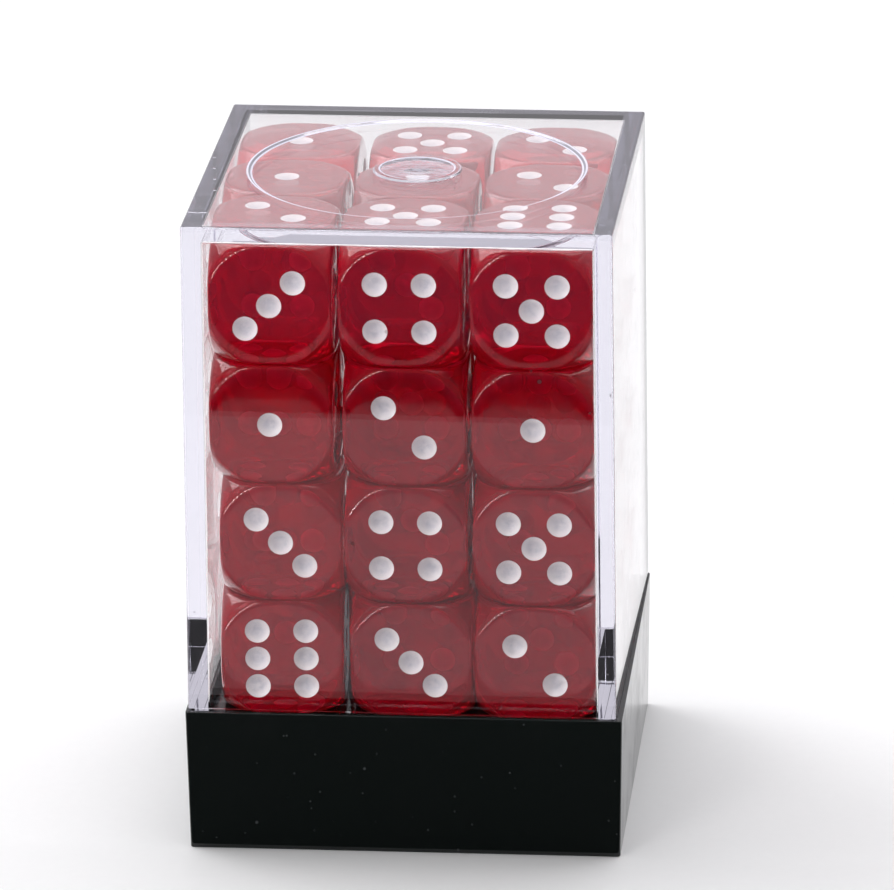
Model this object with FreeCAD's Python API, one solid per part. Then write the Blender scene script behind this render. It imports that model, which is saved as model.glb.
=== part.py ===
"""Boxed set of 36 small dice: a moulded base, a clear cover and a 3 x 3 x 4 stack of loose dice.

Millimetres, +Z up, origin at the centre of the base's underside, front towards -Y.
One STEP file per piece is written to parts/.
"""
import FreeCAD
import Part

import math
import os

# ---- driving dimensions --------------------------------------------------------------------
BASE_HEIGHT = 14.23            # underside to top of rim
BASE_RIM_HALF = 21.34          # half width over the rim
BASE_FOOT_HALF = 21.10         # half width at the underside: the sides taper in downwards
BASE_WALL = 1.80               # side wall and floor thickness
BASE_EDGE_RADIUS = 0.35
RIM_WALL = 0.62                # thin wall around the cover's tongue
GROOVE_DEPTH = 2.98            # groove floor below the rim
PLATFORM_HALF = 18.75          # raised floor that the dice stand on
PLATFORM_BELOW_RIM = 0.98

COVER_TOP = 63.50              # height of the closed box
COVER_TOP_HALF = 20.72
COVER_FOOT_HALF = 20.93        # half width just above the rim: the walls have draft
COVER_SLAB = 1.80              # thickness of the top
COVER_INSIDE_TOP_HALF = 18.90
COVER_INSIDE_FOOT_HALF = 19.12
COVER_EDGE_RADIUS = 0.35
COVER_INSIDE_RADIUS = 0.45
SHOULDER_GAP = 0.15            # between the cover's shoulder and the rim
TONGUE_HALF = 20.38            # outside of the tongue that drops into the groove
TONGUE_GAP = 0.15              # tongue's end above the groove floor
COVER_YAW = -0.6               # degrees that the cover sits askew within its play
COVER_SHIFT_X = 0.05

RING_RADIUS = 16.60            # shallow round dish moulded in the top
RING_SLOPE = 0.40
RING_DEPTH = 0.20
BOSS_RADIUS = 4.25             # round boss in the middle of the dish, level with the top
BOSS_SLOPE = 0.12
GATE_RADIUS = 3.70             # gate recess in the boss
GATE_DEPTH = 0.08
GATE_NUB_RADIUS = 0.75
GATE_NUB_HEIGHT = 0.05

DIE_SIZE = 12.0
DIE_EDGE_RADIUS = 0.50
DIE_SPHERE_RADIUS = 8.65       # a ball that rounds off the corners
STACK_GAP = 0.03               # between one die and the next above
PIP_RADIUS = 1.22
PIP_DEPTH = 0.42
PIP_OFFSET = {2: 1.95, 3: 2.33, 4: 2.36, 5: 2.47}   # centre to pip along each side direction
SIX_ACROSS = 2.36              # half distance between the six's two lines
SIX_ALONG = 2.85               # pip spacing along each line

# Outward normal of each number, and the side direction that its pattern leans on.
# 1, 2 and 3 run anticlockwise round the corner they share, and opposite numbers add up to 7.
NORMAL = {
    1: FreeCAD.Vector(0, 0, 1),
    2: FreeCAD.Vector(0, -1, 0),
    3: FreeCAD.Vector(1, 0, 0),
    4: FreeCAD.Vector(-1, 0, 0),
    5: FreeCAD.Vector(0, 1, 0),
    6: FreeCAD.Vector(0, 0, -1),
}

# How each die lies: (number to the front, number on top, x, y, turn in degrees), seen in the
# cover's own frame, where the dice have settled against its walls. Layer 1 is the lowest.
LAYERS = {
    4: {
        "front_left": (3, 2, -12.47, -12.86, 0.3),
        "front_centre": (4, 5, 0.13, -12.85, 0.0),
        "front_right": (5, 6, 12.85, -12.87, 0.0),
        "middle_left": (2, 1, -12.78, -0.75, -0.4),
        "middle_centre": (3, 1, 0.05, -0.77, 0.4),
        "middle_right": (3, 2, 12.80, -0.79, 0.2),
        "back_left": (5, 1, -12.80, 11.35, -0.6),
        "back_centre": (6, 5, 0.28, 11.42, 0.5),
        "back_right": (4, 2, 12.62, 11.40, 0.8),
    },
    3: {
        "front_left": (1, 3, -12.52, -12.90, -0.3),
        "front_centre": (2, 3, 0.42, -12.90, 0.2),
        "front_right": (1, 4, 12.90, -12.91, 0.0),
        "middle_left": (4, 5, -12.60, -0.79, 0.3),
        "middle_centre": (6, 2, 0.20, -0.84, 0.0),
        "middle_right": (5, 1, 12.80, -0.80, -0.3),
        "back_left": (1, 2, -12.70, 11.50, 0.4),
        "back_centre": (3, 6, 0.10, 11.45, -0.5),
        "back_right": (2, 4, 12.70, 11.40, 0.3),
    },
    2: {
        "front_left": (3, 1, -11.80, -12.90, 0.8),
        "front_centre": (4, 2, 0.46, -12.94, 0.0),
        "front_right": (5, 3, 12.93, -12.95, 0.0),
        "middle_left": (6, 3, -12.30, -0.80, 0.2),
        "middle_centre": (1, 5, 0.40, -0.85, 0.2),
        "middle_right": (2, 6, 12.85, -0.88, 0.0),
        "back_left": (4, 1, -12.60, 11.60, -0.3),
        "back_centre": (5, 4, 0.25, 11.45, 0.3),
        "back_right": (6, 5, 12.75, 11.40, -0.4),
    },
    1: {
        "front_left": (6, 2, -12.14, -12.75, 3.3),
        "front_centre": (3, 6, 0.86, -12.98, 0.0),
        "front_right": (2, 3, 12.95, -12.99, 0.0),
        "middle_left": (1, 4, -12.40, 0.24, 0.0),
        "middle_centre": (2, 1, 0.30, -0.88, -0.3),
        "middle_right": (4, 6, 12.80, -0.90, 0.2),
        "back_left": (3, 5, -12.60, 12.40, 0.2),
        "back_centre": (1, 3, 0.20, 11.50, 0.3),
        "back_right": (5, 6, 12.75, 11.45, 0.0),
    },
}


def square(half, z):
    """A square wire of the given half width at height z, centred on the Z axis."""
    corners = [(-half, -half), (half, -half), (half, half), (-half, half)]
    points = [FreeCAD.Vector(x, y, z) for x, y in corners]
    return Part.makePolygon(points + points[:1])


def tapered_block(low_half, low_z, high_half, high_z):
    """A solid with square ends of two sizes and flat sloping sides."""
    return Part.makeLoft([square(low_half, low_z), square(high_half, high_z)], True, True)


def upright_edges(shape, low_z, high_z):
    """The edges that climb from low_z to high_z."""
    found = []
    for edge in shape.Edges:
        box = edge.BoundBox
        if abs(box.ZMin - low_z) < 1e-4 and abs(box.ZMax - high_z) < 1e-4:
            found.append(edge)
    return found


def level_edges(shape, z):
    """The edges that lie at height z."""
    return [edge for edge in shape.Edges if abs(edge.BoundBox.ZMin - z) + abs(edge.BoundBox.ZMax - z) < 1e-4]


def make_base():
    """The black base: a shell with a hollow underside, a rim, a groove and a raised floor."""
    rim_z = BASE_HEIGHT
    groove_z = rim_z - GROOVE_DEPTH
    platform_z = rim_z - PLATFORM_BELOW_RIM
    shell_half = BASE_RIM_HALF - RIM_WALL

    body = tapered_block(BASE_FOOT_HALF, 0, BASE_RIM_HALF, rim_z)
    body = body.makeFillet(BASE_EDGE_RADIUS, upright_edges(body, 0, rim_z))

    well = tapered_block(shell_half, groove_z, shell_half, rim_z + 1)
    platform = tapered_block(PLATFORM_HALF + 0.05, groove_z - 1, PLATFORM_HALF, platform_z)
    platform = platform.makeFillet(BASE_EDGE_RADIUS, upright_edges(platform, groove_z - 1, platform_z))
    body = body.cut(well.cut(platform))

    wide_half = BASE_FOOT_HALF - BASE_WALL
    hollow = tapered_block(wide_half, -1, wide_half, groove_z - BASE_WALL)
    pocket = tapered_block(PLATFORM_HALF - BASE_WALL, -1, PLATFORM_HALF - BASE_WALL, platform_z - BASE_WALL)
    return body.cut(hollow.fuse(pocket)).removeSplitter()


def make_cover():
    """The clear cover: five walls in one moulding, with a tongue below its shoulder."""
    shoulder_z = BASE_HEIGHT + SHOULDER_GAP
    tongue_z = BASE_HEIGHT - GROOVE_DEPTH + TONGUE_GAP
    ceiling_z = COVER_TOP - COVER_SLAB

    outside = tapered_block(COVER_FOOT_HALF, shoulder_z, COVER_TOP_HALF, COVER_TOP)
    rounded = upright_edges(outside, shoulder_z, COVER_TOP) + level_edges(outside, COVER_TOP)
    outside = outside.makeFillet(COVER_EDGE_RADIUS, rounded)
    tongue = tapered_block(TONGUE_HALF, tongue_z, TONGUE_HALF, shoulder_z + 1)
    tongue = tongue.makeFillet(COVER_EDGE_RADIUS, upright_edges(tongue, tongue_z, shoulder_z + 1))

    inside = tapered_block(COVER_INSIDE_FOOT_HALF, tongue_z - 1, COVER_INSIDE_TOP_HALF, ceiling_z)
    rounded = upright_edges(inside, tongue_z - 1, ceiling_z) + level_edges(inside, ceiling_z)
    inside = inside.makeFillet(COVER_INSIDE_RADIUS, rounded)

    dish_z = COVER_TOP - RING_DEPTH
    dish_foot = FreeCAD.Vector(0, 0, dish_z)
    dish = Part.makeCone(RING_RADIUS - RING_SLOPE, RING_RADIUS, RING_DEPTH, dish_foot)
    boss = Part.makeCone(BOSS_RADIUS + BOSS_SLOPE, BOSS_RADIUS, RING_DEPTH, dish_foot)
    gate_foot = FreeCAD.Vector(0, 0, COVER_TOP - GATE_DEPTH)
    gate = Part.makeCylinder(GATE_RADIUS, GATE_DEPTH, gate_foot)
    nub = Part.makeCone(GATE_NUB_RADIUS, GATE_NUB_RADIUS * 0.8, GATE_NUB_HEIGHT, gate_foot)

    cover = outside.fuse(tongue).cut(inside).cut(dish.cut(boss)).cut(gate.cut(nub)).removeSplitter()
    cover.rotate(FreeCAD.Vector(0, 0, 0), FreeCAD.Vector(0, 0, 1), COVER_YAW)
    cover.translate(FreeCAD.Vector(COVER_SHIFT_X, 0, 0))
    return cover


def pip_spots(number):
    """The places of a number's pips on its face, as offsets from the face's centre."""
    first = {1: 2, 2: 1, 3: 1, 4: 1, 5: 1, 6: 3}[number]
    second = {1: 3, 2: 3, 3: 2, 4: 2, 5: 3, 6: 2}[number]
    across = NORMAL[first]
    along = NORMAL[second]
    if number == 6:
        return [across * SIX_ACROSS * a + along * SIX_ALONG * b for a in (-1, 1) for b in (-1, 0, 1)]
    spots = []
    if number % 2:
        spots.append(FreeCAD.Vector(0, 0, 0))
    if number > 1:
        step = PIP_OFFSET[number]
        spots += [(across + along) * step, (across + along) * -step]
    if number > 3:
        spots += [(across - along) * step, (across - along) * -step]
    return spots


def make_die():
    """One die with 1 on top, 2 to the front and 3 to the right, centred on the origin."""
    corner = FreeCAD.Vector(-DIE_SIZE / 2, -DIE_SIZE / 2, -DIE_SIZE / 2)
    block = Part.makeBox(DIE_SIZE, DIE_SIZE, DIE_SIZE, corner)
    block = block.makeFillet(DIE_EDGE_RADIUS, block.Edges)
    die = block.common(Part.makeSphere(DIE_SPHERE_RADIUS))

    ball_radius = (PIP_RADIUS ** 2 + PIP_DEPTH ** 2) / (2 * PIP_DEPTH)
    balls = []
    for number, normal in NORMAL.items():
        for spot in pip_spots(number):
            centre = normal * (DIE_SIZE / 2 + ball_radius - PIP_DEPTH) + spot
            balls.append(Part.makeSphere(ball_radius, centre))
    return die.cut(Part.makeCompound(balls))


def lay_die(die, front, top, x, y, layer, turn):
    """A copy of the die with the given numbers to the front and on top, in its place in the stack."""
    side = NORMAL[front].cross(NORMAL[top])
    turned = FreeCAD.Matrix(
        -side.x, -side.y, -side.z, 0,
        -NORMAL[front].x, -NORMAL[front].y, -NORMAL[front].z, 0,
        NORMAL[top].x, NORMAL[top].y, NORMAL[top].z, 0,
        0, 0, 0, 1,
    )
    floor_z = BASE_HEIGHT - PLATFORM_BELOW_RIM
    z = floor_z + STACK_GAP + DIE_SIZE / 2 + (layer - 1) * (DIE_SIZE + STACK_GAP)
    upright = FreeCAD.Vector(0, 0, 1)
    settled = FreeCAD.Placement(FreeCAD.Vector(x, y, z), FreeCAD.Rotation(upright, turn))
    with_cover = FreeCAD.Placement(FreeCAD.Vector(COVER_SHIFT_X, 0, 0), FreeCAD.Rotation(upright, COVER_YAW))
    placed = die.copy()
    placed.Placement = with_cover * settled * FreeCAD.Placement(turned)
    return placed


def save(shape, node):
    """Check a piece and write it as one STEP file."""
    assert shape.isValid() and len(shape.Solids) == 1, node
    solid = shape.Solids[0]
    solid.exportStep(os.path.join("parts", node + ".step"))
    print(node, "volume", round(solid.Volume, 2))


os.makedirs("parts", exist_ok=True)
save(make_base(), "base")
save(make_cover(), "clear_cover")
die = make_die()
for layer, row in sorted(LAYERS.items()):
    for place, (front, top, x, y, turn) in row.items():
        save(lay_die(die, front, top, x, y, layer, turn), "die_{}_{}".format(place, layer))
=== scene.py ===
"""Boxed set of 36 small dice on its CAD frame: a black base, a clear cover and red dice with white pips."""

import math

import bpy
from mathutils import Matrix, Vector


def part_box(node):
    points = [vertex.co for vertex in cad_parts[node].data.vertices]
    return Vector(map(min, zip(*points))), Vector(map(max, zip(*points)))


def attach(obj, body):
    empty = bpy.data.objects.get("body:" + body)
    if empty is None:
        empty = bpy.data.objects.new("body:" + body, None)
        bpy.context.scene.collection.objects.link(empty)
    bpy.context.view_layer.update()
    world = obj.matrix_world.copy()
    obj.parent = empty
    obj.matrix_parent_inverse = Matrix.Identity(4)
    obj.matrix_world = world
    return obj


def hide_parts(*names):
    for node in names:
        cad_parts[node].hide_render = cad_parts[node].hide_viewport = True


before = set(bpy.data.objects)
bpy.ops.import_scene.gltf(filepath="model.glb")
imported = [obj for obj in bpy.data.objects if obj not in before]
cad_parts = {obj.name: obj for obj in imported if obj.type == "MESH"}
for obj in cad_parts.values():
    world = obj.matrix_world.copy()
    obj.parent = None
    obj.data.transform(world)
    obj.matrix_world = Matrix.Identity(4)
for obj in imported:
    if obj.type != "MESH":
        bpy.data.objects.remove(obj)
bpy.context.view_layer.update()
MM = 0.001


# ---- Base --------------------------------------------------------------------------------------
# A black polystyrene moulding like an upturned tray: hollow underneath, with a thin rim round the
# cover's tongue, a groove behind it and a raised floor for the dice. It comes glossy from a
# polished mould, and handling leaves fine scratches, dust and dull smears on its sides.
RIM_WALL = 0.62 * MM
GROOVE_WIDTH = 1.97 * MM
GROOVE_DEPTH = 2.98 * MM
PLATFORM_BELOW_RIM = 0.98 * MM
BASE_TAPER = 0.24 * MM
BASE_WALL = 1.80 * MM
HOLLOW_TOP = 9.45 * MM
POCKET_INSET = 2.35 * MM
POCKET_TOP = 11.45 * MM
BASE_CORNER = 0.35 * MM
BASE_BREAK = 0.10 * MM


def only(name):
    """The new primitive under its piece name, as the one selected object."""
    piece = bpy.context.object
    piece.name = name
    piece.data.name = name
    return piece


def settle(piece):
    """Moves the object's place, turn and scale into its mesh."""
    bpy.ops.object.select_all(action="DESELECT")
    bpy.context.view_layer.objects.active = piece
    piece.select_set(True)
    bpy.ops.object.transform_apply(location=True, rotation=True, scale=True)


def pick_faces(piece, wanted):
    """In edit mode, selects the faces for which wanted(centre, normal) is true."""
    bpy.ops.object.mode_set(mode="OBJECT")
    for part in (piece.data.vertices, piece.data.edges, piece.data.polygons):
        part.foreach_set("select", [False] * len(part))
    for face in piece.data.polygons:
        face.select = wanted(face.center, face.normal)
    bpy.ops.object.mode_set(mode="EDIT")
    bpy.ops.mesh.select_mode(type="FACE")


def pick_edges(piece, wanted):
    """In edit mode, selects the edges for which wanted(one end, other end) is true."""
    bpy.ops.object.mode_set(mode="OBJECT")
    for part in (piece.data.vertices, piece.data.edges, piece.data.polygons):
        part.foreach_set("select", [False] * len(part))
    bpy.ops.object.mode_set(mode="EDIT")
    bpy.ops.mesh.select_mode(type="EDGE")
    bpy.ops.object.mode_set(mode="OBJECT")
    corners = piece.data.vertices
    for edge in piece.data.edges:
        edge.select = wanted(corners[edge.vertices[0]].co, corners[edge.vertices[1]].co)
    bpy.ops.object.mode_set(mode="EDIT")


def shape_up(height):
    """Extrudes the selected faces and moves them by height along Z."""
    bpy.ops.mesh.extrude_region_move(TRANSFORM_OT_translate={"value": (0, 0, height)})


def widen(factor, centre):
    """Scales the selection sideways about a centre."""
    bpy.ops.transform.resize(value=(factor, factor, 1), center_override=centre)


def apply_modifier(piece, kind, **settings):
    """Adds a modifier with these settings and applies it at once."""
    bpy.context.view_layer.objects.active = piece
    made = piece.modifiers.new(kind.lower(), kind)
    for name, value in settings.items():
        setattr(made, name, value)
    bpy.ops.object.modifier_apply(modifier=made.name)


def polish_shading(piece, angle):
    """Smooth shading across the rounded edges, with the broad faces kept flat."""
    bpy.ops.object.select_all(action="DESELECT")
    bpy.context.view_layer.objects.active = piece
    piece.select_set(True)
    bpy.ops.object.shade_smooth_by_angle(angle=math.radians(angle))
    apply_modifier(piece, "WEIGHTED_NORMAL", mode="FACE_AREA", weight=80, keep_sharp=True)


base_low, base_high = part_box("base")
rim_half = (base_high.x - base_low.x) / 2
rim_z = base_high.z
middle = Vector(((base_low.x + base_high.x) / 2, (base_low.y + base_high.y) / 2, 0))

bpy.ops.object.select_all(action="DESELECT")
bpy.ops.mesh.primitive_cube_add(size=1, location=(middle.x, middle.y, rim_z / 2),
                                scale=(2 * rim_half, 2 * rim_half, rim_z))
black_base = only("black_base")
settle(black_base)
pick_faces(black_base, lambda centre, normal: normal.z < -0.5)
widen(1 - BASE_TAPER / rim_half, (middle.x, middle.y, 0))
pick_faces(black_base, lambda centre, normal: normal.z > 0.9)
bpy.ops.mesh.inset(thickness=RIM_WALL)
shape_up(-GROOVE_DEPTH)
bpy.ops.mesh.inset(thickness=GROOVE_WIDTH)
shape_up(GROOVE_DEPTH - PLATFORM_BELOW_RIM)
pick_faces(black_base, lambda centre, normal: normal.z < -0.9 and centre.z < 0.1 * MM)
bpy.ops.mesh.inset(thickness=BASE_WALL)
shape_up(HOLLOW_TOP)
bpy.ops.mesh.inset(thickness=POCKET_INSET)
shape_up(POCKET_TOP - HOLLOW_TOP)
pick_edges(black_base, lambda a, b: abs(a.z - b.z) > rim_z - 0.1 * MM)
bpy.ops.mesh.bevel(offset=BASE_CORNER, segments=5, affect="EDGES")
bpy.ops.object.mode_set(mode="OBJECT")
apply_modifier(black_base, "BEVEL", width=BASE_BREAK, segments=3, limit_method="ANGLE",
               angle_limit=math.radians(40), use_clamp_overlap=True)
polish_shading(black_base, 35)


class Wire:
    """A socket in a material's nodes. Arithmetic on it adds Math nodes; node() adds any other node."""

    def __init__(self, tree, socket=None):
        self.tree = tree
        self.socket = socket

    def node(self, kind, settings=None, inputs=None, output=0):
        """Adds a node: its settings first, then the values or links of its sockets."""
        made = self.tree.nodes.new(kind)
        for name, value in (settings or {}).items():
            if name == "stops":
                stops = made.color_ramp.elements
                while len(stops) < len(value):
                    stops.new(0.5)
                for stop, (place, colour) in zip(stops, value):
                    stop.position = place
                    stop.color = colour
            else:
                setattr(made, name, value)
        for name, value in (inputs or {}).items():
            if isinstance(value, Wire):
                self.tree.links.new(value.socket, made.inputs[name])
            else:
                made.inputs[name].default_value = value
        return Wire(self.tree, made.outputs[output] if made.outputs else None)

    def math(self, operation, *terms):
        return self.node("ShaderNodeMath", {"operation": operation}, dict(enumerate(terms)))

    def __add__(self, other):
        return self.math("ADD", self, other)

    __radd__ = __add__

    def __mul__(self, other):
        return self.math("MULTIPLY", self, other)

    __rmul__ = __mul__

    def __sub__(self, other):
        return self.math("SUBTRACT", self, other)

    def __rsub__(self, other):
        return self.math("SUBTRACT", other, self)

    def ramp(self, low, high):
        """0 up to low, 1 from high on, and an even climb between them."""
        return self.node("ShaderNodeMapRange", {"clamp": True}, {0: self, 1: low, 2: high, 3: 0.0, 4: 1.0})

    def noise(self, place, scale, detail=2.0, roughness=0.5):
        """Fractal noise, from 0 to 1, of features about 1/scale metres wide."""
        return self.node("ShaderNodeTexNoise", {"noise_dimensions": "3D"},
                         {"Vector": place, "Scale": scale, "Detail": detail, "Roughness": roughness})

    def blend(self, mask, first, second):
        """The first colour where the mask is 0 and the second where it is 1."""
        return self.node("ShaderNodeMix", {"data_type": "RGBA"}, {0: mask, 6: first, 7: second}, output=2)

    def bump(self, height, strength, distance):
        return self.node("ShaderNodeBump", None,
                         {"Height": height, "Strength": strength, "Distance": distance})


def new_finish(name):
    """An empty material, and a Wire that builds its nodes."""
    finish = bpy.data.materials.new(name)
    finish.use_nodes = True
    finish.node_tree.nodes.clear()
    return finish, Wire(finish.node_tree)


def place_on(wire, stretch=(1, 1, 1), turn=(0, 0, 0)):
    """Places in the object's own frame, in metres, turned and stretched."""
    where = wire.node("ShaderNodeTexCoord", output=3)
    return wire.node("ShaderNodeMapping", {"vector_type": "POINT"},
                     {"Vector": where, "Rotation": turn, "Scale": stretch})


def specks(wire, per_metre, size, share, seed):
    """1 in small scattered round specks, in a share of the cells of a grid, and 0 elsewhere."""
    place = place_on(wire, turn=(seed, seed * 0.7, seed * 1.3))
    cells = wire.node("ShaderNodeTexVoronoi", {"feature": "F1"}, {"Vector": place, "Scale": per_metre})
    tint = wire.node("ShaderNodeTexVoronoi", {"feature": "F1"}, {"Vector": place, "Scale": per_metre},
                     output=1)
    lot = wire.node("ShaderNodeSeparateColor", None, {"Color": tint})
    return (1 - cells.ramp(size * 0.6, size)) * lot.ramp(1 - share, 1 - share + 0.001)


def scratches(wire, turn, thin, seed):
    """1 along a few long thin scratches that run one way, and 0 elsewhere."""
    place = place_on(wire, stretch=(40, 1400, 40), turn=turn)
    streak = wire.noise(place, 1.0 + 0.13 * seed, 3.0, 0.6)
    return streak.ramp(thin, thin + 0.05)


base_finish, wire = new_finish("polished_black_plastic")
smears = wire.noise(place_on(wire), 160.0, 4.0, 0.6).ramp(0.45, 0.75)
hairlines = scratches(wire, (0.0, 0.6, 0.2), 0.70, 1) + scratches(wire, (0.5, -0.4, 1.3), 0.71, 2)
dust = specks(wire, 520.0, 0.10, 0.20, 1.0) + specks(wire, 1500.0, 0.16, 0.10, 2.0)
worn = (hairlines * 0.4 + dust).ramp(0.0, 1.0)
base_colour = wire.blend(worn, (0.0060, 0.0080, 0.0075, 1), (0.05, 0.055, 0.055, 1))
base_rough = 0.10 + smears * 0.10 + hairlines.ramp(0.0, 1.0) * 0.2
base_bump = wire.bump(hairlines * 0.5 + dust, 0.25, 0.02 * MM)
shader = wire.node("ShaderNodeBsdfPrincipled", None,
                   {"Base Color": base_colour, "Roughness": base_rough, "IOR": 1.45, "Normal": base_bump})
wire.node("ShaderNodeOutputMaterial", None, {"Surface": shader})

black_base.data.materials.append(base_finish)
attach(black_base, "base")
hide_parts("base")


# ---- Clear cover -------------------------------------------------------------------------------
# One moulding of clear polystyrene: four walls and a top as thick as a coin, and a thinner tongue
# below a shoulder that drops into the base's groove. A shallow round dish in the top has a gate
# recess in its middle, where the plastic came in. It is polished, with a few specks of dust.
COVER_YAW = math.radians(-0.6)
COVER_SHIFT_X = 0.05 * MM
COVER_TOP = 63.50 * MM
COVER_TOP_HALF = 20.72 * MM
COVER_FOOT_HALF = 20.93 * MM
INSIDE_TOP_HALF = 18.90 * MM
INSIDE_FOOT_HALF = 19.12 * MM
CEILING_Z = 61.70 * MM
SHOULDER_Z = 14.38 * MM
TONGUE_HALF = 20.38 * MM
TONGUE_END_Z = 11.40 * MM
COVER_EDGE = 0.22 * MM
TONGUE_EDGE = 0.06 * MM
DISH_RADIUS = 16.60 * MM
DISH_SLOPE = 0.40 * MM
DISH_DEPTH = 0.20 * MM
BOSS_RADIUS = 4.25 * MM
BOSS_SLOPE = 0.12 * MM
GATE_RADIUS = 3.70 * MM
GATE_DEPTH = 0.08 * MM
NUB_RADIUS = 0.75 * MM
NUB_HEIGHT = 0.05 * MM
COVER_IOR = 1.585
MASK_EDGE = 0.03 * MM

bpy.ops.object.select_all(action="DESELECT")
bpy.ops.mesh.primitive_cube_add(size=1, location=(0, 0, (SHOULDER_Z + COVER_TOP) / 2),
                                scale=(2 * COVER_FOOT_HALF, 2 * COVER_FOOT_HALF, COVER_TOP - SHOULDER_Z))
clear_cover = only("clear_lid")
settle(clear_cover)
pick_faces(clear_cover, lambda centre, normal: normal.z > 0.5)
widen(COVER_TOP_HALF / COVER_FOOT_HALF, (0, 0, COVER_TOP))
pick_faces(clear_cover, lambda centre, normal: normal.z < -0.5)
bpy.ops.mesh.inset(thickness=COVER_FOOT_HALF - TONGUE_HALF)
shape_up(TONGUE_END_Z - SHOULDER_Z)
bpy.ops.mesh.inset(thickness=TONGUE_HALF - INSIDE_FOOT_HALF)
shape_up(CEILING_Z - TONGUE_END_Z)
widen(INSIDE_TOP_HALF / INSIDE_FOOT_HALF, (0, 0, CEILING_Z))
pick_edges(clear_cover, lambda a, b: max(a.z, b.z) > COVER_TOP / 2)
bpy.ops.mesh.bevel(offset=COVER_EDGE, segments=5, affect="EDGES")
bpy.ops.object.mode_set(mode="OBJECT")
apply_modifier(clear_cover, "BEVEL", width=TONGUE_EDGE, segments=3, limit_method="ANGLE",
               angle_limit=math.radians(40), use_clamp_overlap=True)


def cut_by(piece, cutter, solver="EXACT", **settings):
    """Cuts the cutter's shape out of the piece, and removes the cutter."""
    apply_modifier(piece, "BOOLEAN", operation="DIFFERENCE", object=cutter, solver=solver, **settings)
    bpy.data.objects.remove(cutter)


def turned_cutter(name, profile, segments):
    """A closed ring spun about Z from a profile of (radius, z) corners. A corner at radius 0 closes it."""
    bpy.ops.object.select_all(action="DESELECT")
    bpy.ops.mesh.primitive_circle_add(vertices=len(profile), radius=1, fill_type="NGON")
    cutter = only(name)
    for corner, (radius, z) in zip(cutter.data.vertices, profile):
        corner.co = (radius, 0, z)
    bpy.ops.object.mode_set(mode="EDIT")
    bpy.ops.mesh.select_all(action="SELECT")
    bpy.ops.mesh.delete(type="ONLY_FACE")
    bpy.ops.mesh.select_all(action="SELECT")
    bpy.ops.mesh.spin(steps=segments, angle=2 * math.pi, center=(0, 0, 0), axis=(0, 0, 1))
    bpy.ops.mesh.select_all(action="SELECT")
    bpy.ops.mesh.remove_doubles(threshold=0.001 * MM)
    bpy.ops.mesh.normals_make_consistent(inside=False)
    bpy.ops.object.mode_set(mode="OBJECT")
    return cutter


def soft_step(near, far, low, high):
    """Corners of a slope from (near, low) to (far, high), eased at both ends."""
    ease = [(0.0, 0.0), (0.16, 0.06), (0.33, 0.22), (0.5, 0.5), (0.67, 0.78), (0.84, 0.94), (1.0, 1.0)]
    return [(near + (far - near) * along, low + (high - low) * up) for along, up in ease]


dish_z = COVER_TOP - DISH_DEPTH
gate_z = COVER_TOP - GATE_DEPTH
above = COVER_TOP + 1 * MM
nub_z = gate_z + NUB_HEIGHT
cut_by(clear_cover, turned_cutter("dish_cutter", (
    soft_step(DISH_RADIUS - DISH_SLOPE, DISH_RADIUS, dish_z, COVER_TOP)
    + [(DISH_RADIUS, above), (BOSS_RADIUS, above)]
    + soft_step(BOSS_RADIUS, BOSS_RADIUS + BOSS_SLOPE, COVER_TOP, dish_z)), 180))
cut_by(clear_cover, turned_cutter("gate_cutter", (
    [(NUB_RADIUS, gate_z)]
    + soft_step(GATE_RADIUS - BOSS_SLOPE, GATE_RADIUS, gate_z, COVER_TOP)
    + [(GATE_RADIUS, above), (0, above), (0, nub_z), (NUB_RADIUS * 0.8, nub_z)]),
    96))
polish_shading(clear_cover, 35)
clear_cover.data.transform(Matrix.Translation((COVER_SHIFT_X, 0, 0)) @ Matrix.Rotation(COVER_YAW, 4, "Z"))

lid_finish, wire = new_finish("clear_polystyrene")
place = wire.node("ShaderNodeTexCoord", output=3)
# Dust specks, a thin film of grease, and frosting at the gate. A pale rough skin along the turned edges of
# the dish and gate is a painted highlight, and the same skin over the wall tops is a painted glow.
lint = specks(wire, 170.0, 0.055, 0.10, 3.0) + specks(wire, 420.0, 0.080, 0.04, 4.0)
lid_dust = lint.ramp(0.0, 1.0)
grease = wire.noise(place_on(wire), 90.0, 5.0, 0.65).ramp(0.5, 0.8)
height = wire.node("ShaderNodeSeparateXYZ", None, {"Vector": place}, output=2)
radial = wire.node("ShaderNodeVectorMath", {"operation": "LENGTH"}, {
    0: wire.node("ShaderNodeVectorMath", {"operation": "MULTIPLY"}, {0: place, 1: (1, 1, 0)})}, output=1)
on_top = height.ramp(COVER_TOP - 0.6 * MM, COVER_TOP - 0.5 * MM)
gate_floor = (1 - radial.ramp(GATE_RADIUS - 0.1 * MM, GATE_RADIUS)) * on_top


def thin_ring(wire, radial, radius):
    """1 on a hairline circle of this radius, and 0 away from it."""
    return 1 - wire.math("ABSOLUTE", radial - radius).ramp(0.05 * MM, 0.13 * MM)


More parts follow.
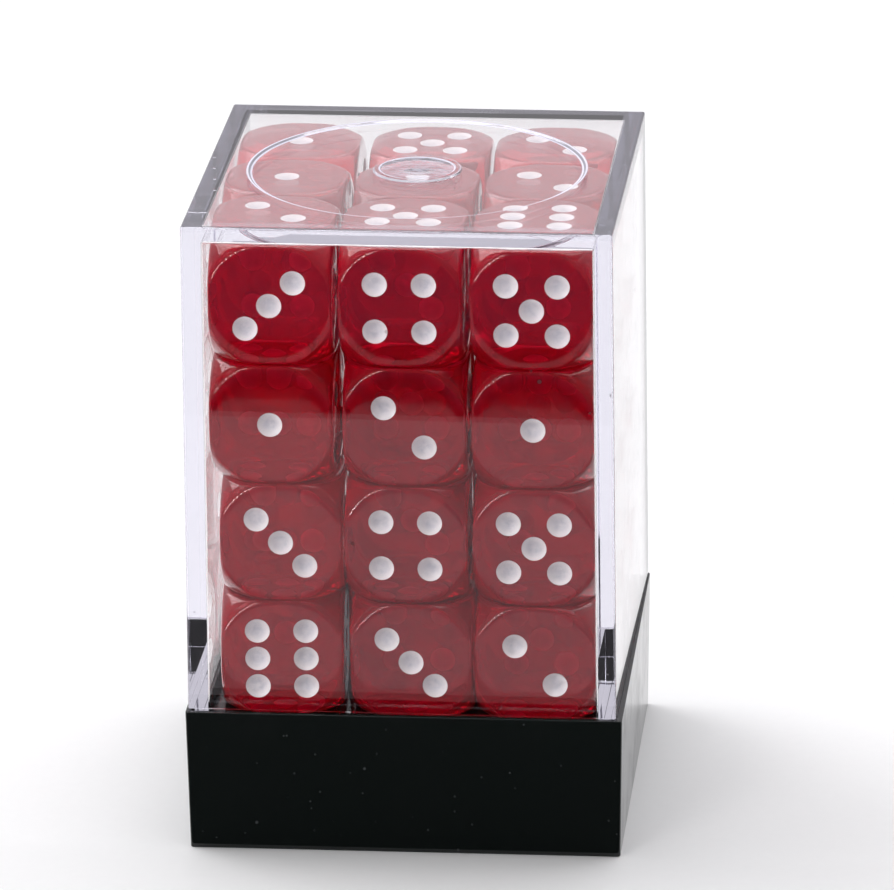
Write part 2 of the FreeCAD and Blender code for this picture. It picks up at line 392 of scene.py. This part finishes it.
slope_foot = DISH_RADIUS - DISH_SLOPE
# White hairlines on the dish and boss edges, and a paler band on the dish's slope: painted highlights.
ring_edge = (thin_ring(wire, radial, slope_foot) + thin_ring(wire, radial, DISH_RADIUS)) * on_top
ring_slope = radial.ramp(slope_foot, slope_foot + MASK_EDGE)
ring_slope = ring_slope * (1 - radial.ramp(DISH_RADIUS - MASK_EDGE, DISH_RADIUS)) * on_top
boss_edge = (thin_ring(wire, radial, GATE_RADIUS) + thin_ring(wire, radial, BOSS_RADIUS) * 0.5) * on_top
flow = wire.noise(place_on(wire, stretch=(0.35, 1.6, 1)), 1500.0, 4.0, 0.65).ramp(0.42, 0.62)
side_x = wire.math("ABSOLUTE", wire.node("ShaderNodeSeparateXYZ", None, {"Vector": place}))
side_y = wire.math("ABSOLUTE", wire.node("ShaderNodeSeparateXYZ", None, {"Vector": place}, output=1))
# Over the wall tops the pale skin is a painted glow, with streaks, standing in for light carried up inside
# the walls.
over_walls = wire.math("MAXIMUM", side_x, side_y).ramp(INSIDE_TOP_HALF, INSIDE_TOP_HALF + 0.1 * MM) * on_top
streaks_in_painted_glow = scratches(wire, (0.0, 0.3, 0.9), 0.60, 3) * 0.10
frost_and_painted_light = gate_floor * (0.12 + flow * 0.35) + (ring_edge * 0.85 + ring_slope * 0.35) + boss_edge * 0.80
frost_and_painted_light = (frost_and_painted_light + over_walls * (0.13 + streaks_in_painted_glow)).ramp(0.0, 1.0)
lid_colour = wire.blend(lid_dust * 0.8, (1, 1, 1, 1), (0.12, 0.10, 0.10, 1))
lid_rough = grease * 0.004 + gate_floor * 0.10 + lid_dust * 0.3
ripple = wire.noise(place_on(wire), 70.0, 2.0, 0.5)
frost = wire.noise(place_on(wire), 900.0, 3.0, 0.6) * gate_floor
lid_bump = wire.bump(ripple * 0.3 + frost * 0.5 + lid_dust * 0.1, 0.10, 0.05 * MM)
clear_skin = wire.node("ShaderNodeBsdfPrincipled", None, {
    "Base Color": lid_colour, "Roughness": lid_rough, "IOR": COVER_IOR, "Transmission Weight": 1.0,
    "Normal": lid_bump})
# The pale skin: real frost on the gate floor, a painted highlight on the turned edges and a painted glow
# over the wall tops.
frost_and_painted_light_skin = wire.node("ShaderNodeBsdfPrincipled", None, {
    "Base Color": (0.83, 0.81, 0.95, 1), "Roughness": 0.45, "IOR": COVER_IOR})
shader = wire.node("ShaderNodeMixShader", None, {0: frost_and_painted_light, 1: clear_skin, 2: frost_and_painted_light_skin})
body_tint = wire.node("ShaderNodeVolumeAbsorption", None, {"Color": (0.73, 0.71, 0.86, 1), "Density": 14.0})
wire.node("ShaderNodeOutputMaterial", None, {"Surface": shader, "Volume": body_tint})

clear_cover.data.materials.append(lid_finish)
clear_cover.visible_shadow = False
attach(clear_cover, "cover")
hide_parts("clear_cover")


# ---- Dice --------------------------------------------------------------------------------------
# 36 loose dice of 12 mm in clear red plastic, moulded as cubes with ball-rounded corners. Their
# pips are shallow round dimples filled with white paint. They stand in four layers of nine, and
# each has settled against its neighbours a little differently.
DIE_HALF = 6.0 * MM
DIE_BALL = 8.65 * MM
EDGE_SOFTNESS = 46
FACE_CELLS = 52
PIP_RADIUS = 1.22 * MM
PIP_DEPTH = 0.42 * MM
PIP_OFFSET = {2: 1.95 * MM, 3: 2.33 * MM, 4: 2.36 * MM, 5: 2.47 * MM}
SIX_ACROSS = 2.36 * MM
SIX_ALONG = 2.85 * MM

# Outward normal of each number. 1, 2 and 3 run anticlockwise round the corner they share.
NORMAL = {1: Vector((0, 0, 1)), 2: Vector((0, -1, 0)), 3: Vector((1, 0, 0)),
          4: Vector((-1, 0, 0)), 5: Vector((0, 1, 0)), 6: Vector((0, 0, -1))}

# How each die lies: the numbers to its front and on top, and its turn in degrees in the cover.
LAID = {
    "front_left": ((6, 2, 3.3), (3, 1, 0.8), (1, 3, -0.3), (3, 2, 0.3)),
    "front_centre": ((3, 6, 0.0), (4, 2, 0.0), (2, 3, 0.2), (4, 5, 0.0)),
    "front_right": ((2, 3, 0.0), (5, 3, 0.0), (1, 4, 0.0), (5, 6, 0.0)),
    "middle_left": ((1, 4, 0.0), (6, 3, 0.2), (4, 5, 0.3), (2, 1, -0.4)),
    "middle_centre": ((2, 1, -0.3), (1, 5, 0.2), (6, 2, 0.0), (3, 1, 0.4)),
    "middle_right": ((4, 6, 0.2), (2, 6, 0.0), (5, 1, -0.3), (3, 2, 0.2)),
    "back_left": ((3, 5, 0.2), (4, 1, -0.3), (1, 2, 0.4), (5, 1, -0.6)),
    "back_centre": ((1, 3, 0.3), (5, 4, 0.3), (3, 6, -0.5), (6, 5, 0.5)),
    "back_right": ((5, 6, 0.0), (6, 5, -0.4), (2, 4, 0.3), (4, 2, 0.8)),
}


def pip_spots(number):
    """The places of a number's pips, as offsets from its face's centre."""
    across = NORMAL[{1: 2, 2: 1, 3: 1, 4: 1, 5: 1, 6: 3}[number]]
    along = NORMAL[{1: 3, 2: 3, 3: 2, 4: 2, 5: 3, 6: 2}[number]]
    if number == 6:
        return [across * SIX_ACROSS * a + along * SIX_ALONG * b for a in (-1, 1) for b in (-1, 0, 1)]
    spots = [Vector((0, 0, 0))] if number % 2 else []
    if number > 1:
        spots += [(across + along) * PIP_OFFSET[number] * side for side in (-1, 1)]
    if number > 3:
        spots += [(across - along) * PIP_OFFSET[number] * side for side in (-1, 1)]
    return spots


bpy.ops.object.select_all(action="DESELECT")
bpy.ops.mesh.primitive_cube_add(size=2 * DIE_HALF)
pattern_die = only("pattern_die")
bpy.ops.object.mode_set(mode="EDIT")
bpy.ops.mesh.select_all(action="SELECT")
bpy.ops.mesh.subdivide(number_cuts=FACE_CELLS - 1)
bpy.ops.object.mode_set(mode="OBJECT")
for corner in pattern_die.data.vertices:
    # Flat faces, the ball that trims the corners, and a soft blend wherever two of them meet.
    way = corner.co.normalized()
    reach = sum(abs(c / DIE_HALF) ** EDGE_SOFTNESS for c in way) + (1 / DIE_BALL) ** EDGE_SOFTNESS
    corner.co = way * reach ** (-1 / EDGE_SOFTNESS)

die_finish, wire = new_finish("clear_red_plastic")
haze = wire.noise(place_on(wire), 700.0, 3.0, 0.6).ramp(0.45, 0.8)
lumps = wire.noise(place_on(wire), 260.0, 2.0, 0.5)
die_rough = 0.045 + haze * 0.04
die_bump = wire.bump(lumps, 0.06, 0.1 * MM)
shader = wire.node("ShaderNodeBsdfPrincipled", None, {
    "Base Color": wire.blend(haze, (0.76, 0.002, 0.022, 1), (0.70, 0.003, 0.028, 1)),
    "Roughness": die_rough, "IOR": 1.57, "Transmission Weight": 0.76, "Normal": die_bump,
    "Coat Weight": 1.0, "Coat Roughness": 0.004, "Coat IOR": 1.33})
wire.node("ShaderNodeOutputMaterial", None, {"Surface": shader})

pip_finish, wire = new_finish("white_pip_paint")
depth = wire.node("ShaderNodeAttribute", {"attribute_name": "pip_depth"}, output=2)
blotch = wire.noise(place_on(wire), 1600.0, 3.0, 0.65).ramp(0.35, 0.7)
# The paint turns greyer towards the bottom of each dimple, in blotches: painted shade in the hollow.
painted_hollow_shade = depth.ramp(0.35, 0.9)
pip_colour = wire.blend(painted_hollow_shade * (0.35 + blotch * 0.65), (0.80, 0.74, 0.76, 1), (0.52, 0.50, 0.56, 1))
shader = wire.node("ShaderNodeBsdfPrincipled", None, {
    "Base Color": pip_colour, "Roughness": 0.35 + blotch * 0.2, "IOR": 1.45})
wire.node("ShaderNodeOutputMaterial", None, {"Surface": shader})

pattern_die.data.materials.append(die_finish)
pattern_die.data.materials.append(pip_finish)
ball_radius = (PIP_RADIUS ** 2 + PIP_DEPTH ** 2) / (2 * PIP_DEPTH)
balls = []
for number, normal in NORMAL.items():
    for spot in pip_spots(number):
        centre = normal * (DIE_HALF + ball_radius - PIP_DEPTH) + spot
        bpy.ops.object.select_all(action="DESELECT")
        bpy.ops.mesh.primitive_uv_sphere_add(segments=40, ring_count=40, radius=ball_radius, location=centre,
                                             rotation=normal.to_track_quat("Z", "Y").to_euler())
        ball = only("pip_ball")
        ball.data.materials.append(pip_finish)
        balls.append(ball)
bpy.ops.object.select_all(action="DESELECT")
for ball in balls:
    ball.select_set(True)
bpy.context.view_layer.objects.active = balls[0]
bpy.ops.object.join()
settle(balls[0])
cut_by(pattern_die, balls[0], material_mode="TRANSFER")
bpy.ops.object.select_all(action="DESELECT")
bpy.context.view_layer.objects.active = pattern_die
pattern_die.select_set(True)
bpy.ops.object.shade_smooth_by_angle(angle=math.radians(26))
pip_depth = pattern_die.data.attributes.new("pip_depth", "FLOAT", "POINT")
for corner in pattern_die.data.vertices:
    below = DIE_HALF - max(abs(c) for c in corner.co)
    pip_depth.data[corner.index].value = min(1.0, max(0.0, below / PIP_DEPTH))

for place_name, layers in LAID.items():
    for layer, (front, top, turn) in enumerate(layers, start=1):
        node = f"die_{place_name}_{layer}"
        low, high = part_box(node)
        side = NORMAL[front].cross(NORMAL[top])
        laid = Matrix((-side, -NORMAL[front], NORMAL[top])).to_4x4()
        settled = Matrix.Rotation(math.radians(turn) + COVER_YAW, 4, "Z")
        red_die = bpy.data.objects.new(f"red_{node}", pattern_die.data.copy())
        bpy.context.scene.collection.objects.link(red_die)
        red_die.data.transform(Matrix.Translation((low + high) / 2) @ settled @ laid)
        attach(red_die, node)
        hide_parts(node)
bpy.data.objects.remove(pattern_die)


# ---- Studio ------------------------------------------------------------------------------------
# A white floor under a pale sky that is brightest at the back, with a small soft light above and to
# the left, a wide one overhead, and a camera a little above the box with a long lens. Dark and grey
# cards on the floor in front, which only reflections and refractions see, stand in for the room.
FLOOR_SIZE = 6.0


def new_card(name, width, depth, location, finish, turn=(0, 0, 0)):
    """A flat rectangle that isn't part of the object."""
    bpy.ops.object.select_all(action="DESELECT")
    bpy.ops.mesh.primitive_plane_add(size=1, location=location, rotation=turn)
    card = only(name)
    card.scale = (width, depth, 1)
    settle(card)
    card.data.materials.append(finish)
    return card


floor_finish, wire = new_finish("white_paper")
fibre = wire.noise(place_on(wire), 900.0, 4.0, 0.6)
shader = wire.node("ShaderNodeBsdfPrincipled", None, {
    "Base Color": wire.blend(fibre, (0.92, 0.92, 0.925, 1), (0.95, 0.95, 0.95, 1)), "Roughness": 0.7,
    "IOR": 1.4})
wire.node("ShaderNodeOutputMaterial", None, {"Surface": shader})
new_card("floor", FLOOR_SIZE, FLOOR_SIZE, (0, 0, -0.02 * MM), floor_finish)

dark_finish, wire = new_finish("black_card")
shader = wire.node("ShaderNodeEmission", None, {"Color": (0.006, 0.006, 0.007, 1), "Strength": 1.0})
wire.node("ShaderNodeOutputMaterial", None, {"Surface": shader})

dim_finish, wire = new_finish("dim_card")
shader = wire.node("ShaderNodeEmission", None, {"Color": (0.055, 0.045, 0.085, 1), "Strength": 1.0})
wire.node("ShaderNodeOutputMaterial", None, {"Surface": shader})

grey_finish, wire = new_finish("grey_card")
shader = wire.node("ShaderNodeEmission", None, {"Color": (0.38, 0.36, 0.39, 1), "Strength": 1.0})
wire.node("ShaderNodeOutputMaterial", None, {"Surface": shader})


def seen_only_in_reflections(card):
    """Hides the card from the camera and from diffuse light, and lets it cast no shadow."""
    card.visible_camera = False
    card.visible_diffuse = False
    card.visible_volume_scatter = False
    card.visible_shadow = False


CARD_HEIGHT = 0.3 * MM
front_y = base_low.y
NEAR_EDGE = 0.041
FAR_EDGE = 0.132
DIM_EDGE = 0.160
DARK_DEPTH = 2.4


def floor_card(name, width, near, far, finish):
    """A card on the floor, from near to far metres in front of the base."""
    return new_card(name, width, far - near, (0, front_y - (near + far) / 2, CARD_HEIGHT), finish)


near_card = floor_card("near_card", 0.12, 0.0, NEAR_EDGE, dark_finish)
grey_card = floor_card("grey_card", 0.9, NEAR_EDGE, FAR_EDGE, grey_finish)
far_card = floor_card("far_card", 3.0, FAR_EDGE, DIM_EDGE, dark_finish)
dim_card = floor_card("dim_card", 3.0, DIM_EDGE, DIM_EDGE + DARK_DEPTH, dim_finish)
for card in (near_card, grey_card, far_card, dim_card):
    seen_only_in_reflections(card)


def soft_light(name, location, aim, side, watts):
    """A square area light that faces its aim."""
    lamp = bpy.data.lights.new(name, "AREA")
    lamp.shape = "SQUARE"
    lamp.size = side
    lamp.energy = watts
    holder = bpy.data.objects.new(name, lamp)
    holder.location = location
    holder.rotation_euler = (Vector(aim) - Vector(location)).to_track_quat("-Z", "Y").to_euler()
    bpy.context.scene.collection.objects.link(holder)


soft_light("upper_left_softbox", (-0.70, 0.30, 0.85), (0, 0, 0.02), side=0.7, watts=4.5)
soft_light("overhead_scrim", (0.25, 0.25, 1.30), (0.15, 0.05, 0), side=1.8, watts=14.0)

# A louvred strip light stands at the front left, and its slats glint along the dice's rounded rims.
SLATS = 12
SLAT_LOW = Vector((-0.36, -0.36, 0.02))
SLAT_HIGH = Vector((-0.15, -0.47, 0.27))
SLAT_FILL = 0.30
SLAT_HEIGHT = 0.11
SLAT_AIM = Vector((0, 0, 0.035))
slat_finish, wire = new_finish("strip_light")
shader = wire.node("ShaderNodeEmission", None, {"Color": (1.0, 1.0, 1.0, 1), "Strength": 21.0})
wire.node("ShaderNodeOutputMaterial", None, {"Surface": shader})
run = SLAT_HIGH - SLAT_LOW
slat_face = ((SLAT_LOW + SLAT_HIGH) / 2 - SLAT_AIM).normalized()
slat_turn = Matrix((run.normalized(), slat_face.cross(run).normalized(), slat_face)).transposed().to_euler()
for number in range(SLATS):
    slat = new_card(f"slat_{number}", run.length / SLATS * SLAT_FILL, SLAT_HEIGHT,
                    SLAT_LOW + run * (number + 0.5) / SLATS, slat_finish, turn=slat_turn)
    slat.visible_camera = False

world = bpy.data.worlds.new("white_sky")
bpy.context.scene.world = world
world.use_nodes = True
world.node_tree.nodes.clear()
sky = Wire(world.node_tree)
way = sky.node("ShaderNodeTexCoord", output=0)
to_back = sky.node("ShaderNodeSeparateXYZ", None, {"Vector": way}, output=1)
brightness = 0.12 + to_back.ramp(-0.25, 0.4) * 0.60
glow = sky.node("ShaderNodeBackground", None, {"Color": (0.97, 0.95, 1.0, 1), "Strength": brightness})
sky.node("ShaderNodeOutputWorld", None, {"Surface": glow})

CAMERA_PLACE = Vector((69.95, -727.42, 286.38)) * MM
CAMERA_AIM = Vector((2.47, 1.69, 34.32)) * MM
CAMERA_ROLL = math.radians(-0.642)
lens = bpy.data.cameras.new("long_lens")
lens.sensor_width = 36.0
lens.lens = 314.7
lens.clip_start = 0.01
lens.clip_end = 20.0
camera = bpy.data.objects.new("camera", lens)
bpy.context.scene.collection.objects.link(camera)
facing = (CAMERA_AIM - CAMERA_PLACE).to_track_quat("-Z", "Y").to_matrix().to_4x4()
camera.matrix_world = Matrix.Translation(CAMERA_PLACE) @ facing @ Matrix.Rotation(CAMERA_ROLL, 4, "Z")
bpy.context.scene.camera = camera

bpy.context.scene.view_settings.view_transform = "Standard"
light_paths = bpy.context.scene.cycles
light_paths.max_bounces = 28
light_paths.transmission_bounces = 28
light_paths.glossy_bounces = 12
light_paths.diffuse_bounces = 5
